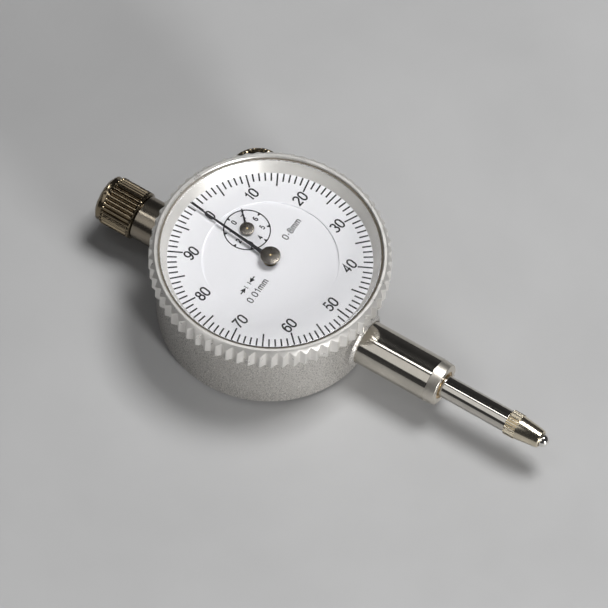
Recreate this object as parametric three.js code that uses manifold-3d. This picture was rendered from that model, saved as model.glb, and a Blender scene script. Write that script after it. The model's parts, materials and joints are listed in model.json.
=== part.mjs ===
// A 0-8 mm dial indicator lying on its back: case, stem, plunger with its rack, gear train, pointer,
// counter hand, turning bezel with the scale ring, bezel clamp and dust cap. Millimetres.
// The origin is the centre of the back cover's outer face. +Z points out of the dial, +Y from the
// dial's centre to the dust cap, and the stem points along -Y.
import * as THREE from "three";
import { mergeVertices } from "three/addons/utils/BufferGeometryUtils.js";
import Module from "manifold-3d";

const wasm = await Module();
wasm.setup();

// ---- Driving dimensions ----

// Case and back cover
const CASE_RADIUS = 19.1;
const CASE_BORE = 17.4;
const CASE_BOTTOM = 0.6;
const CASE_TOP = 14.4;
const CASE_CHAMFER = 0.3;
const FRONT_WALL_BOTTOM = 13.9;
const FRONT_WALL_TOP = 15;
const NECK_RADIUS = 18.4;
const NECK_TOP = 15.3;
const NECK_RIM = 1.4;
const SNAP_GROOVE_BOTTOM = 14.8;
const SNAP_GROOVE_TOP = 15.1;
const SNAP_GROOVE_DEPTH = 0.25;
const COVER_RADIUS = 17.6;
const COVER_THICKNESS = 1.2;
const REBATE_RADIUS = 17.75;
const COVER_SCREW_CIRCLE = 15.6;
const COVER_SCREWS = 4;
const COVER_SCREW_SEAT = 0.6;
const COVER_SCREW_WELL = 1.45;
const LUG_RADIUS = 2;
const LUG_TOP = 3.4;
const FRAME_BOSS_RADIUS = 2.5;
const FRAME_BOSS_HOLE_TOP = 12.8;
const DIAL_OPENING = 1.6;

// Stem, plunger and upper tube, all on one axis
const AXIS_HEIGHT = 7.15;
const STEM_RADIUS = 4;
const STEM_END = -35.5;
const STEM_TIP_RADIUS = 3.78;
const STEM_TIP_LENGTH = 1.9;
const TUBE_INNER_END = 16.2;
const BOSS_RADIUS = 4.9;
const BOSS_END = -19.9;
const BUSH_RADIUS = 2.6;
const BUSH_BORE = 2.05;
const ROD_RADIUS = 2;
const ROD_BOTTOM = -48.5;
const ROD_TOP = 22.3;
const TUBE_SHOULDER = 25.8;
const TUBE_END = 28.3;
const TUBE_WIDE_BORE = 2.98;
const TUBE_THREAD_RADIUS = 3.6;
const UPPER_BUSH_END = 22.2;

// Contact point
const CONTACT_RING_RADIUS = 2.275;
const CONTACT_RING_LENGTH = 2;
const CONTACT_CONE_RADIUS = 2.2;
const CONTACT_TIP_RADIUS = 1.63;
const CONTACT_END = -54.95;
const BALL_RADIUS = 1.15;
const BALL_END = -56.4;

// Dust cap
const CAP_RADIUS = 4.45;
const CAP_BORE = 3.72;
const CAP_KNURLS = 26;
const CAP_KNURL_DEPTH = 0.2;
const CAP_KNURL_END = 31.8;
const CAP_END = 33.3;
const CAP_INNER_END = 32;

// Bezel, scale ring, reflector ring and crystal
const BEZEL_TURN = THREE.MathUtils.degToRad(7.8);
const BEZEL_RIBS = 66;
const BEZEL_RIDGE = 20.85;
const BEZEL_VALLEY = 20.2;
const BEZEL_BOTTOM = 14.5;
const BEZEL_TOP = 18.6;
const RIM_OUTER = 19.9;
const RIM_INNER = 19.35;
const RIB_TOP = 17.7;
const SKIRT_BORE = 18.6;
const BEZEL_BORE = 19.25;
const SCALE_TOP = 15.8;
const SCALE_THICKNESS = 0.4;
const SCALE_INNER = 11.75;
const REFLECTOR_INNER = 17.6;
const REFLECTOR_UPPER = 18.9;
const CRYSTAL_BOTTOM = 17.75;
const CRYSTAL_TOP = 18.35;
const RING_OUTER = 19.2;

// Dial and hands
const INNER_DIAL_RADIUS = 11.65;
const INNER_DIAL_TOP = 15.35;
const POINTER_ANGLE = THREE.MathUtils.degToRad(-6);
const POINTER_LENGTH = 17.4;
const POINTER_HEIGHT = 16.35;
const POINTER_HUB_RADIUS = 1.75;
const POINTER_HUB_TOP = 17.4;
const SMALL_HAND_ANGLE = THREE.MathUtils.degToRad(-45);
const SMALL_HAND_LENGTH = 4;
const SMALL_HUB_RADIUS = 1.25;
const SMALL_HUB_TOP = 16.15;

// Gear train: the rack pinion's arbor and the counter arbor stand on opposite sides of the pointer
const ARBOR_X = 3;
const ARBOR_Y = 6.6;
const ARBOR_DISTANCE = Math.hypot(ARBOR_X, ARBOR_Y);
const ARBOR_DIRECTION = Math.atan2(ARBOR_Y, ARBOR_X);
const GEAR_TEETH = 80;
const CENTRE_TEETH = 10;
const GEAR_MODULE = (2 * ARBOR_DISTANCE) / (GEAR_TEETH + CENTRE_TEETH);
const RACK_TEETH = 16;
const RACK_PITCH = 0.5;
const RACK_MODULE = RACK_PITCH / Math.PI;
const RACK_FROM = -21;
const RACK_TO = 3;
const RACK_END_ROOM = 0.2;
const GEAR_BOTTOM = 11.2;
const GEAR_TOP = 11.7;
const RACK_PINION_BOTTOM = 6.2;
const RACK_PINION_TOP = 8.1;

// Movement frame
const REAR_PLATE_RADIUS = 13.2;
const REAR_PLATE_BOTTOM = 2.6;
const REAR_PLATE_TOP = 3.4;
const FRONT_PLATE_RADIUS = 15.95;
const FRONT_PLATE_BOTTOM = 9.7;
const FRONT_PLATE_TOP = 10.5;
const BRIDGE_BOTTOM = 12.9;
const BRIDGE_TOP = 13.6;
const BRIDGE_HALF_WIDTH = 1.6;
const PILLARS = [[-11, 5], [11.5, 3], [8, -9]];
const PILLAR_BORE_END = 6;
const BRIDGE_POSTS = [[-8.5, 3.5], [8.5, -3.5]];
const MOVEMENT_SCREW_CIRCLE = 15;
const MOVEMENT_SCREW_ANGLES = [-45, 82, 135];

// Guide pin, guide rail and return spring
const GUIDE_PIN_Y = -0.6;
const GUIDE_PIN_RADIUS = 0.5;
const RAIL_INNER = 7;
const RAIL_OUTER = 8.4;
const RAIL_FROM = -2;
const RAIL_TO = 9.9;
const RAIL_TOP = 8.6;
const SPRING_X = 5;
const SPRING_FROM = -10.9;
const SPRING_TO = -1.3;
const SPRING_COIL_RADIUS = 1;
const SPRING_WIRE_RADIUS = 0.17;
const SPRING_TURNS = 9;
const SPRING_POST_Y = -11.6;

// Bezel clamp
const CLAMP_ANGLE = THREE.MathUtils.degToRad(51.8);
const CLAMP_HEIGHT = 10;
const KNOB_RADIUS = 3.75;
const KNOB_FROM = 20.2;
const KNOB_TO = 24.5;
const KNOB_KNURLS = 24;
const KNOB_KNURL_DEPTH = 0.2;
const CLAMP_SHAFT_RADIUS = 1.2;
const CLAMP_SHAFT_GAP = 0.15;
const CLAW_INNER = 16.2;
const CLAW_OUTER = 17;
const CLAW_HALF_WIDTH = 1.8;
const CLAW_NOSE_END = 18.3;

// Screws: the radii of heads and shanks, and how much wider a hole is than what goes through it
const COVER_SCREW = { head: 1.3, shank: 0.65 };
const FRAME_SCREW = { head: 1, shank: 0.45 };
const SCREW_GAP = 0.07;
const RUNNING_GAP = 0.05;

// Flat facets round the large circles
const SEGMENTS = 36;

// ---- Materials ----

function finish(color, roughness, metalness) {
  return new THREE.MeshStandardMaterial({ color, roughness, metalness });
}

const FINISH = {
  granularSilver: finish(0x9e9992, 0.55, 0.8),
  satinSilver: finish(0xccc9c2, 0.35, 0.9),
  nickel: finish(0xbfb39e, 0.2, 1),
  warmNickel: finish(0x9e8c73, 0.3, 1),
  steel: finish(0xb8b4ac, 0.25, 1),
  brass: finish(0xb08d4a, 0.35, 1),
  bronze: finish(0x8f6a3c, 0.4, 1),
  dialWhite: finish(0xe0e0e8, 0.6, 0),
  black: finish(0x141414, 0.5, 0),
  darkNickel: finish(0x59524a, 0.3, 1),
  darkCover: finish(0x2b2a29, 0.55, 0.2),
  glass: finish(0xf4f8fa, 0.05, 0),
};
FINISH.glass.transparent = true;
FINISH.glass.opacity = 0.2;

// ---- Solids ----

function toSolid(geometry) {
  const bare = geometry.clone();
  bare.deleteAttribute("normal");
  bare.deleteAttribute("uv");
  const merged = mergeVertices(bare, 1e-4);
  const vertProperties = merged.attributes.position.array;
  const triVerts = new Uint32Array(merged.index.array);
  return new wasm.Manifold(new wasm.Mesh({ numProp: 3, vertProperties, triVerts }));
}

function toGeometry(solid) {
  const { vertProperties, triVerts } = solid.getMesh();
  const geometry = new THREE.BufferGeometry();
  geometry.setAttribute("position", new THREE.BufferAttribute(new Float32Array(vertProperties), 3));
  geometry.setIndex(new THREE.BufferAttribute(new Uint32Array(triVerts), 1));
  geometry.computeVertexNormals();
  return geometry;
}

function cut(geometry, ...tools) {
  let solid = toSolid(geometry);
  for (const tool of tools) solid = solid.subtract(toSolid(tool));
  return toGeometry(solid);
}

function join(...pieces) {
  let solid = toSolid(pieces[0]);
  for (const piece of pieces.slice(1)) solid = solid.add(toSolid(piece));
  return toGeometry(solid);
}

function common(first, second) {
  return toGeometry(toSolid(first).intersect(toSolid(second)));
}

// A [radius, height] outline turned about Z. It starts and ends on the axis, or closes on itself.
function turned(outline, segments = 32) {
  const area = outline.reduce((sum, [r, z], i) => {
    const [nextR, nextZ] = outline[(i + 1) % outline.length];
    return sum + r * nextZ - nextR * z;
  }, 0);
  const points = outline.map(([r, z]) => new THREE.Vector2(r, z));
  if (area < 0) points.reverse();
  const open = points[0].x === 0 && points[points.length - 1].x === 0;
  if (!open) points.push(points[0].clone());
  return new THREE.LatheGeometry(points, segments).rotateX(Math.PI / 2);
}

function disc(radius, bottom, top, segments) {
  return turned([[0, bottom], [radius, bottom], [radius, top], [0, top]], segments);
}

function ring(inner, outer, bottom, top, segments) {
  return turned([[inner, bottom], [outer, bottom], [outer, top], [inner, top]], segments);
}

function block(x, y, z) {
  const size = new THREE.Vector3(x[1] - x[0], y[1] - y[0], z[1] - z[0]);
  const geometry = new THREE.BoxGeometry(size.x, size.y, size.z);
  return geometry.translate((x[0] + x[1]) / 2, (y[0] + y[1]) / 2, (z[0] + z[1]) / 2);
}

function plate(points, bottom, top) {
  const shape = new THREE.Shape(points.map(([x, y]) => new THREE.Vector2(x, y)));
  const options = { depth: top - bottom, bevelEnabled: false };
  return new THREE.ExtrudeGeometry(shape, options).translate(0, 0, bottom);
}

function at(geometry, x, y) {
  return geometry.translate(x, y, 0);
}

// Turns a piece made along Z so that it lies along Y on the stem's axis.
function onStemAxis(geometry) {
  return geometry.rotateX(-Math.PI / 2).translate(0, 0, AXIS_HEIGHT);
}

function polar(radius, angle) {
  return [radius * Math.cos(angle), radius * Math.sin(angle)];
}

// A point at an angle in degrees clockwise from +Y, seen from the dial's side.
function fromTop(radius, degrees) {
  const angle = THREE.MathUtils.degToRad(degrees);
  return [radius * Math.sin(angle), radius * Math.cos(angle)];
}

// V-shaped ridges round a circle.
function ribbed(ridge, valley, ribs) {
  const points = [];
  for (let i = 0; i < 2 * ribs; i += 1) {
    points.push(polar(i % 2 ? valley : ridge, (i * Math.PI) / ribs));
  }
  return points;
}

// Straight-sided pinion leaves, with a leaf's centre at the given angle. Sizes are in modules.
const TOOTH = { tip: 0.9, root: 1.25, tipWidth: 0.6, rootWidth: 1.8, wheelTip: 0.7 };

function pinionOutline(teeth, module, toothAngle) {
  const pitchRadius = (teeth * module) / 2;
  const tipRadius = pitchRadius + TOOTH.tip * module;
  const rootRadius = pitchRadius - TOOTH.root * module;
  const tipHalf = (TOOTH.tipWidth * module) / 2 / tipRadius;
  const rootHalf = (TOOTH.rootWidth * module) / 2 / rootRadius;
  const points = [];
  for (let i = 0; i < teeth; i += 1) {
    const centre = toothAngle + (i * 2 * Math.PI) / teeth;
    points.push(polar(rootRadius, centre - rootHalf));
    points.push(polar(tipRadius, centre - tipHalf));
    points.push(polar(tipRadius, centre + tipHalf));
    points.push(polar(rootRadius, centre + rootHalf));
  }
  return points;
}

// The pointed teeth of a large wheel, whose gaps leave the pinion's leaves free play.
function wheelOutline(teeth, module, toothAngle) {
  const pitchRadius = (teeth * module) / 2;
  const points = [];
  for (let i = 0; i < 2 * teeth; i += 1) {
    const radius = i % 2 ? pitchRadius - TOOTH.root * module : pitchRadius + TOOTH.wheelTip * module;
    points.push(polar(radius, toothAngle + (i * Math.PI) / teeth));
  }
  return points;
}

// A flat bar with round ends between two points.
function bar(from, to, halfWidth, bottom, top) {
  const along = Math.atan2(to[1] - from[1], to[0] - from[0]);
  const points = [];
  for (let i = 0; i <= 8; i += 1) {
    const [x, y] = polar(halfWidth, along - Math.PI / 2 + (i * Math.PI) / 8);
    points.push([to[0] + x, to[1] + y]);
  }
  for (let i = 0; i <= 8; i += 1) {
    const [x, y] = polar(halfWidth, along + Math.PI / 2 + (i * Math.PI) / 8);
    points.push([from[0] + x, from[1] + y]);
  }
  return plate(points, bottom, top);
}

function part(group, name, geometry, material) {
  const mesh = new THREE.Mesh(geometry, material);
  mesh.name = name;
  group.add(mesh);
  return mesh;
}

// A screw: its head spans two heights, and its shank ends above or below the head.
function screw(size, headBottom, headTop, shankEnd) {
  const headUp = shankEnd < headBottom;
  const seat = headUp ? headBottom : headTop;
  const face = headUp ? headTop : headBottom;
  const outline = [[0, face], [size.head, face], [size.head, seat], [size.shank, seat]];
  outline.push([size.shank, shankEnd], [0, shankEnd]);
  return turned(outline, 12);
}

// ---- Case ----

function caseShell() {
  const neckGroove = NECK_RADIUS - SNAP_GROOVE_DEPTH;
  const outline = [
    [CASE_BORE, COVER_THICKNESS],
    [REBATE_RADIUS, COVER_THICKNESS],
    [REBATE_RADIUS, CASE_BOTTOM],
    [CASE_RADIUS - CASE_CHAMFER, CASE_BOTTOM],
    [CASE_RADIUS, CASE_BOTTOM + CASE_CHAMFER],
    [CASE_RADIUS, CASE_TOP - CASE_CHAMFER],
    [CASE_RADIUS - CASE_CHAMFER, CASE_TOP],
    [NECK_RADIUS, CASE_TOP],
    [NECK_RADIUS, SNAP_GROOVE_BOTTOM],
    [neckGroove, SNAP_GROOVE_BOTTOM],
    [neckGroove, SNAP_GROOVE_TOP],
    [NECK_RADIUS, SNAP_GROOVE_TOP],
    [NECK_RADIUS, NECK_TOP],
    [NECK_RADIUS - NECK_RIM, NECK_TOP],
    [NECK_RADIUS - NECK_RIM, FRONT_WALL_TOP],
    [DIAL_OPENING, FRONT_WALL_TOP],
    [DIAL_OPENING, FRONT_WALL_BOTTOM],
    [CASE_BORE, FRONT_WALL_BOTTOM],
  ];
  const additions = [onStemAxis(disc(BOSS_RADIUS, BOSS_END, -CASE_BORE - 0.4, 24))];
  const holes = [
    onStemAxis(disc(STEM_RADIUS + RUNNING_GAP, BOSS_END - 1, -CASE_BORE + 1, 24)),
    onStemAxis(disc(STEM_RADIUS + RUNNING_GAP, CASE_BORE - 1, CASE_RADIUS + 1, 24)),
    at(disc(1, FRONT_WALL_BOTTOM - 1, FRONT_WALL_TOP + 1, 16), ARBOR_X, ARBOR_Y),
  ];
  for (const [x, y] of coverScrewPlaces()) {
    additions.push(at(disc(LUG_RADIUS, COVER_THICKNESS, LUG_TOP, 12), x, y));
    const screwHole = disc(COVER_SCREW.shank + SCREW_GAP, COVER_THICKNESS - 0.5, LUG_TOP + 1, 8);
    holes.push(at(screwHole, x, y));
  }
  for (const [x, y] of movementScrewPlaces()) {
    additions.push(at(disc(FRAME_BOSS_RADIUS, FRONT_PLATE_TOP, FRONT_WALL_BOTTOM + 0.5, 12), x, y));
    const screwHole = disc(FRAME_SCREW.shank + SCREW_GAP, FRONT_PLATE_TOP - 1, FRAME_BOSS_HOLE_TOP, 8);
    holes.push(at(screwHole, x, y));
  }
  const clampHoleRadius = CLAMP_SHAFT_RADIUS + CLAMP_SHAFT_GAP;
  const clampHole = disc(clampHoleRadius, CLAW_INNER, CASE_RADIUS + 1, 16).rotateX(-Math.PI / 2);
  holes.push(clampHole.translate(0, 0, CLAMP_HEIGHT).rotateZ(-CLAMP_ANGLE));
  // The claw's slot is open through the front wall, and through the neck above the case's shoulder.
  const slotWidth = [-CLAW_HALF_WIDTH - 0.3, CLAW_HALF_WIDTH + 0.3];
  const wallDepth = [FRONT_WALL_BOTTOM - 1, NECK_TOP + 1];
  const wallSlot = block(slotWidth, [CLAW_INNER - 0.2, CASE_BORE - 0.1], wallDepth);
  const neckSlot = block(slotWidth, [CLAW_OUTER, NECK_RADIUS + 0.2], [CASE_TOP, NECK_TOP + 1]);
  holes.push(wallSlot.rotateZ(-CLAMP_ANGLE), neckSlot.rotateZ(-CLAMP_ANGLE));
  return cut(join(turned(outline, SEGMENTS), ...additions), ...holes);
}

function coverScrewPlaces() {
  const places = [];
  for (let i = 0; i < COVER_SCREWS; i += 1) {
    places.push(fromTop(COVER_SCREW_CIRCLE, 45 + (i * 360) / COVER_SCREWS));
  }
  return places;
}

function movementScrewPlaces() {
  return MOVEMENT_SCREW_ANGLES.map((angle) => fromTop(MOVEMENT_SCREW_CIRCLE, angle));
}

function backCover() {
  const cover = turned([
    [0, 0],
    [COVER_RADIUS - 0.2, 0],
    [COVER_RADIUS, 0.2],
    [COVER_RADIUS, COVER_THICKNESS],
    [0, COVER_THICKNESS],
  ], SEGMENTS);
  const holes = [];
  for (const [x, y] of coverScrewPlaces()) {
    holes.push(at(disc(COVER_SCREW_WELL, -1, COVER_SCREW_SEAT, 12), x, y));
    holes.push(at(disc(COVER_SCREW.shank + 0.1, 0, COVER_THICKNESS + 1, 12), x, y));
  }
  return cut(cover, ...holes);
}

function snapRing() {
  const gap = THREE.MathUtils.degToRad(30);
  const start = Math.PI / 2 - CLAMP_ANGLE + gap;
  const sweep = 2 * Math.PI - 2 * gap;
  const steps = 32;
  const points = [];
  for (let i = 0; i <= steps; i += 1) points.push(polar(18.75, start + (sweep * i) / steps));
  for (let i = steps; i >= 0; i -= 1) points.push(polar(18.25, start + (sweep * i) / steps));
  return plate(points, SNAP_GROOVE_BOTTOM + RUNNING_GAP, SNAP_GROOVE_TOP - RUNNING_GAP);
}

function stem() {
  return onStemAxis(turned([
    [BUSH_RADIUS, STEM_END],
    [STEM_TIP_RADIUS, STEM_END],
    [STEM_RADIUS, STEM_END + STEM_TIP_LENGTH],
    [STEM_RADIUS, -TUBE_INNER_END],
    [BUSH_RADIUS, -TUBE_INNER_END],
  ], 24));
}

function upperTube() {
  return onStemAxis(turned([
    [BUSH_RADIUS, TUBE_INNER_END],
    [STEM_RADIUS, TUBE_INNER_END],
    [STEM_RADIUS, TUBE_SHOULDER - RUNNING_GAP],
    [TUBE_THREAD_RADIUS, TUBE_SHOULDER - RUNNING_GAP],
    [TUBE_THREAD_RADIUS, TUBE_END],
    [TUBE_WIDE_BORE, TUBE_END],
    [TUBE_WIDE_BORE, UPPER_BUSH_END],
    [BUSH_RADIUS, UPPER_BUSH_END],
  ], 24));
}

function bush(from, to) {
  return onStemAxis(ring(BUSH_BORE, BUSH_RADIUS - RUNNING_GAP, from, to, 20));
}

function addCase(group) {
  part(group, "case_shell", caseShell(), FINISH.granularSilver);
  part(group, "back_cover", backCover(), FINISH.darkCover);
  coverScrewPlaces().forEach(([x, y], i) => {
    const fastener = screw(COVER_SCREW, 0.1, COVER_SCREW_SEAT, LUG_TOP - 0.2);
    part(group, `cover_screw_${i + 1}`, fastener, FINISH.steel).position.set(x, y, 0);
  });
  part(group, "snap_ring", snapRing(), FINISH.steel);
  part(group, "stem", stem(), FINISH.nickel);
  part(group, "stem_end_bush", bush(STEM_END + 0.1, -29), FINISH.bronze);
  part(group, "stem_inner_bush", bush(-24, -TUBE_INNER_END - 0.2), FINISH.bronze);
  part(group, "upper_tube", upperTube(), FINISH.nickel);
  part(group, "upper_bush", bush(TUBE_INNER_END + 0.1, UPPER_BUSH_END - 0.2), FINISH.bronze);
}

// ---- Movement frame ----

function pillar() {
  return turned([
    [0, PILLAR_BORE_END],
    [0.5, PILLAR_BORE_END],
    [0.5, REAR_PLATE_TOP],
    [1, REAR_PLATE_TOP],
    [1, FRONT_PLATE_BOTTOM],
    [0.6, FRONT_PLATE_BOTTOM],
    [0.6, FRONT_PLATE_TOP],
    [0, FRONT_PLATE_TOP],
  ], 12);
}

function rearPlate() {
  const holes = [at(disc(0.4, 2, 4, 12), -ARBOR_X, -ARBOR_Y)];
  for (const [x, y] of PILLARS) holes.push(at(disc(0.55, 2, 4, 12), x, y));
  return cut(disc(REAR_PLATE_RADIUS, REAR_PLATE_BOTTOM, REAR_PLATE_TOP, SEGMENTS), ...holes);
}

function frontPlate() {
  const holes = [
    at(disc(0.9, 9, 11, 12), -ARBOR_X, -ARBOR_Y),
    disc(0.35, 9, 11, 8),
    at(disc(0.35, 9, 11, 8), ARBOR_X, ARBOR_Y),
  ];
  for (const [x, y] of PILLARS) holes.push(at(disc(0.65, 9, 11, 12), x, y));
  for (const [x, y] of movementScrewPlaces()) holes.push(at(disc(0.55, 9, 11, 8), x, y));
  return cut(disc(FRONT_PLATE_RADIUS, FRONT_PLATE_BOTTOM, FRONT_PLATE_TOP, SEGMENTS), ...holes);
}

function bridge() {
  const arbors = bar([-ARBOR_X, -ARBOR_Y], [ARBOR_X, ARBOR_Y], BRIDGE_HALF_WIDTH, BRIDGE_BOTTOM, BRIDGE_TOP);
  const feet = bar(BRIDGE_POSTS[0], BRIDGE_POSTS[1], BRIDGE_HALF_WIDTH, BRIDGE_BOTTOM, BRIDGE_TOP);
  const holes = [
    at(disc(0.4, 12, 14, 12), -ARBOR_X, -ARBOR_Y),
    disc(0.6, 12, 14, 12),
    at(disc(0.6, 12, 14, 12), ARBOR_X, ARBOR_Y),
  ];
  for (const [x, y] of BRIDGE_POSTS) holes.push(at(disc(0.6, 12, 14, 12), x, y));
  return cut(join(arbors, feet), ...holes);
}

function guideRail() {
  const body = block([RAIL_INNER, RAIL_OUTER], [RAIL_FROM, RAIL_TO], [REAR_PLATE_TOP, RAIL_TOP]);
  const slotHeight = GUIDE_PIN_RADIUS + 0.1;
  const slotLevels = [AXIS_HEIGHT - slotHeight, AXIS_HEIGHT + slotHeight];
  const slot = block([RAIL_INNER - 1, RAIL_OUTER + 1], [RAIL_FROM + 0.7, RAIL_TO - 0.7], slotLevels);
  return cut(body, slot);
}

function hairspring() {
  const turns = 4;
  const steps = turns * 14;
  const inner = [];
  const outer = [];
  for (let i = 0; i <= steps; i += 1) {
    const angle = ARBOR_DIRECTION + Math.PI - 2 * Math.PI * turns * (1 - i / steps);
    const radius = 0.95 + (2.8 * i) / steps;
    inner.push(polar(radius - 0.05, angle));
    outer.push(polar(radius + 0.05, angle));
  }
  return plate(inner.concat(outer.reverse()), 12, 12.5);
}

function addMovementFrame(group) {
  part(group, "rear_plate", rearPlate(), FINISH.brass);
  part(group, "front_plate", frontPlate(), FINISH.brass);
  PILLARS.forEach(([x, y], i) => {
    part(group, `pillar_${i + 1}`, pillar(), FINISH.brass).position.set(x, y, 0);
    const fastener = screw(FRAME_SCREW, 1.9, REAR_PLATE_BOTTOM, PILLAR_BORE_END - 0.5);
    part(group, `plate_screw_${i + 1}`, fastener, FINISH.steel).position.set(x, y, 0);
  });
  movementScrewPlaces().forEach(([x, y], i) => {
    const fastener = screw(FRAME_SCREW, 9, FRONT_PLATE_BOTTOM, FRAME_BOSS_HOLE_TOP - 0.4);
    part(group, `movement_screw_${i + 1}`, fastener, FINISH.steel).position.set(x, y, 0);
  });
  part(group, "bridge", bridge(), FINISH.brass);
  BRIDGE_POSTS.forEach(([x, y], i) => {
    const post = ring(0.55, 1.2, FRONT_PLATE_TOP, BRIDGE_BOTTOM, 16);
    part(group, `bridge_post_${i + 1}`, post, FINISH.brass).position.set(x, y, 0);
    const fastener = screw(FRAME_SCREW, BRIDGE_TOP, BRIDGE_TOP + 0.25, FRONT_PLATE_TOP + 0.5);
    part(group, `bridge_screw_${i + 1}`, fastener, FINISH.steel).position.set(x, y, 0);
  });
  part(group, "guide_rail", guideRail(), FINISH.brass);
  const springPost = disc(0.5, REAR_PLATE_TOP, RAIL_TOP, 12);
  part(group, "spring_post", springPost, FINISH.steel).position.set(SPRING_X, SPRING_POST_Y, 0);
  part(group, "hairspring", hairspring(), FINISH.steel).position.set(ARBOR_X, ARBOR_Y, 0);
  const stud = part(group, "hairspring_stud", disc(0.3, 11.95, BRIDGE_BOTTOM, 12), FINISH.brass);
  const [studX, studY] = polar(ARBOR_DISTANCE - 4.25, ARBOR_DIRECTION);
  stud.position.set(studX, studY, 0);
}

function innerDial() {
  const face = disc(INNER_DIAL_RADIUS, FRONT_WALL_TOP, INNER_DIAL_TOP, SEGMENTS);
  return cut(face, disc(1.2, 14, 16, 16), at(disc(0.8, 14, 16, 12), ARBOR_X, ARBOR_Y));
}

// ---- Plunger ----

function plungerRod() {
  const rod = turned([
    [0, ROD_BOTTOM + 3.6],
    [1.25, ROD_BOTTOM + 3.6],
    [1.25, ROD_BOTTOM],
    [ROD_RADIUS, ROD_BOTTOM],
    [ROD_RADIUS, ROD_TOP - 0.3],
    [ROD_RADIUS - 0.3, ROD_TOP],
    [0, ROD_TOP],
  ], 24);
  const pitchX = -ARBOR_X + (RACK_TEETH * RACK_MODULE) / 2;
  const tipX = pitchX - RACK_MODULE;
  const rootX = pitchX + TOOTH.root * RACK_MODULE;
  const rackFrom = -ARBOR_Y + (RACK_FROM * RACK_PITCH) - RACK_END_ROOM;
  const rackTo = -ARBOR_Y + (RACK_TO * RACK_PITCH) + RACK_END_ROOM;
  const tools = [block([-3, tipX], [-3, 3], [rackFrom, rackTo])];
  for (let k = RACK_FROM; k <= RACK_TO; k += 1) {
    const centre = -ARBOR_Y + k * RACK_PITCH;
    const gap = new THREE.Shape([
      new THREE.Vector2(tipX - 0.1, centre - 0.21),
      new THREE.Vector2(rootX, centre - 0.085),
      new THREE.Vector2(rootX, centre + 0.085),
      new THREE.Vector2(tipX - 0.1, centre + 0.21),
    ]);
    const tooth = new THREE.ExtrudeGeometry(gap, { depth: 6, bevelEnabled: false });
    tools.push(tooth.translate(0, 0, -3).rotateX(Math.PI / 2));
  }
  const pinHole = disc(GUIDE_PIN_RADIUS + 0.02, 0.4, 3, 16).rotateY(Math.PI / 2);
  tools.push(pinHole.translate(0, 0, GUIDE_PIN_Y));
  return cut(rod, ...tools);
}

function contactPoint() {
  const top = ROD_BOTTOM - RUNNING_GAP;
  const ringEnd = top - CONTACT_RING_LENGTH;
  const body = turned([
    [0, top + 3.4],
    [1.2, top + 3.4],
    [1.2, top],
    [CONTACT_CONE_RADIUS, top],
    [CONTACT_CONE_RADIUS, ringEnd],
    [CONTACT_TIP_RADIUS, CONTACT_END],
    [1.2, CONTACT_END],
    [1.2, CONTACT_END + 1.1],
    [0, CONTACT_END + 1.1],
  ], 20);
  const knurl = plate(ribbed(CONTACT_RING_RADIUS, CONTACT_RING_RADIUS - 0.12, 20), ringEnd, top);
  return join(body, cut(knurl, disc(1.5, ringEnd - 1, top + 1, 8)));
}

class SpringCurve extends THREE.Curve {
  getPoint(t, target = new THREE.Vector3()) {
    const angle = 2 * Math.PI * SPRING_TURNS * t;
    const along = SPRING_FROM + (SPRING_TO - SPRING_FROM) * t;
    return target.set(SPRING_COIL_RADIUS * Math.cos(angle), along, SPRING_COIL_RADIUS * Math.sin(angle));
  }
}

function returnSpring() {
  const wire = [];
  for (let i = 0; i < 4; i += 1) {
    const [x, y] = polar(SPRING_WIRE_RADIUS, (i * Math.PI) / 2);
    wire.push(new THREE.Vector2(x, y));
  }
  const options = { steps: SPRING_TURNS * 8, extrudePath: new SpringCurve(), bevelEnabled: false };
  return new THREE.ExtrudeGeometry(new THREE.Shape(wire), options);
}

function addPlunger(group) {
  const line = new THREE.Group();
  line.position.z = AXIS_HEIGHT;
  group.add(line);
  const shaft = new THREE.Group();
  shaft.rotation.x = -Math.PI / 2;
  line.add(shaft);
  part(shaft, "plunger_rod", plungerRod(), FINISH.steel);
  part(shaft, "contact_point", contactPoint(), FINISH.nickel);
  const ball = part(shaft, "contact_ball", new THREE.SphereGeometry(BALL_RADIUS, 14, 9), FINISH.steel);
  ball.position.z = BALL_END + BALL_RADIUS;
  const pin = part(line, "guide_pin", disc(GUIDE_PIN_RADIUS, 0.6, 8, 16), FINISH.steel);
  pin.rotation.y = Math.PI / 2;
  pin.position.y = GUIDE_PIN_Y;
  part(line, "return_spring", returnSpring(), FINISH.steel).position.x = SPRING_X;
}

// ---- Gear train and hands ----

function gear(toothAngle, bore) {
  const blank = plate(wheelOutline(GEAR_TEETH, GEAR_MODULE, toothAngle), GEAR_BOTTOM, GEAR_TOP);
  return cut(blank, disc(bore, GEAR_BOTTOM - 1, GEAR_TOP + 1, 12));
}

function addRackArbor(group) {
  const arbor = turned([
    [0, 2.7],
    [0.35, 2.7],
    [0.35, 3.45],
    [0.6, 3.45],
    [0.6, GEAR_TOP + 0.2],
    [0.35, GEAR_TOP + 0.2],
    [0.35, BRIDGE_TOP - 0.1],
    [0, BRIDGE_TOP - 0.1],
  ], 12);
  const teeth = plate(pinionOutline(RACK_TEETH, RACK_MODULE, 0), RACK_PINION_BOTTOM, RACK_PINION_TOP);
  part(group, "rack_pinion", join(arbor, teeth), FINISH.steel);
  const halfTooth = Math.PI / GEAR_TEETH;
  part(group, "main_gear", gear(ARBOR_DIRECTION + halfTooth, 0.65), FINISH.brass);
}

function handArbor(top) {
  return turned([
    [0, FRONT_PLATE_BOTTOM + 0.1],
    [0.3, FRONT_PLATE_BOTTOM + 0.1],
    [0.3, FRONT_PLATE_TOP + RUNNING_GAP],
    [0.5, FRONT_PLATE_TOP + RUNNING_GAP],
    [0.5, top],
    [0, top],
  ], 12);
}

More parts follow.
